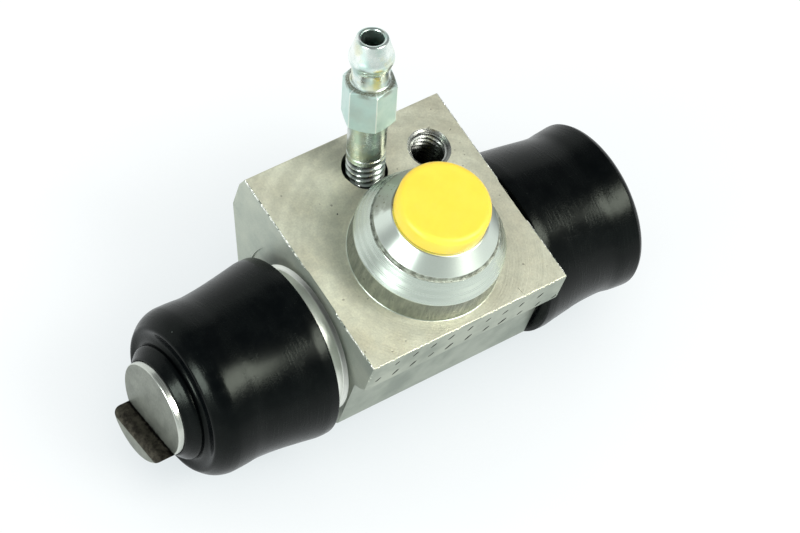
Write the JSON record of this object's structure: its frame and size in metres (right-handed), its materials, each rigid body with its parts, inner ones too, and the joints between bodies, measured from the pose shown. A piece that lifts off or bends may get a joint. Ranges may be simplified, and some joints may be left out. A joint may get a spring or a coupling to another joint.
{
  "type": "wheel cylinder",
  "caption": "Double-ended drum brake wheel cylinder with pipe boss, bleed screw, rubber boots and sprung pistons, pipe port plugged.",
  "frame": {"origin": "where the axis of the round pipe boss meets the flat mounting face", "axes": "+Z out of the mounting face, +X along the bore towards the right piston, +Y towards the bleed screw"},
  "size_m": [0.0866, 0.0377, 0.0527],
  "materials": {
    "housing": "extruded and machined, fine matte grain",
    "piston": "turned, matte grey",
    "seal_rubber": "smooth moulded rubber",
    "boot_rubber": "moulded rubber with a soft sheen",
    "spring_wire": "drawn wire",
    "plated_steel": "bright zinc plating",
    "yellow_plastic": "moulded matte plastic"
  },
  "bodies": {
    "housing": {"housing": "housing", "left_boot": "boot_rubber", "right_boot": "boot_rubber", "return_spring": "spring_wire"},
    "left_piston": {"left_piston": "piston", "left_seal": "seal_rubber"},
    "right_piston": {"right_piston": "piston", "right_seal": "seal_rubber"},
    "bleed_screw": {"bleed_screw": "plated_steel"},
    "port_plug": {"port_plug": "yellow_plastic"}
  },
  "joints": [
    {"name": "left_piston_slide", "type": "slide", "parent": "housing", "child": "left_piston", "axis": [-1, 0, 0], "range_m": [-0.006, 0.004], "stiffness_N_per_m": 800, "deforming": ["left_boot", "return_spring"]},
    {"name": "right_piston_slide", "type": "slide", "parent": "housing", "child": "right_piston", "axis": [1, 0, 0], "range_m": [-0.002, 0.008], "stiffness_N_per_m": 800, "deforming": ["right_boot", "return_spring"]},
    {"name": "bleed_screw_turn", "type": "hinge", "parent": "housing", "child": "bleed_screw", "pos_m": [0, 0.0155, 0], "axis": [0, 0.2857, 0.9583], "range_deg": [0, 450]},
    {"name": "port_plug_pull", "type": "slide", "parent": "housing", "child": "port_plug", "axis": [0, 0, 1], "range_m": [0, 0.012]}
  ]
}
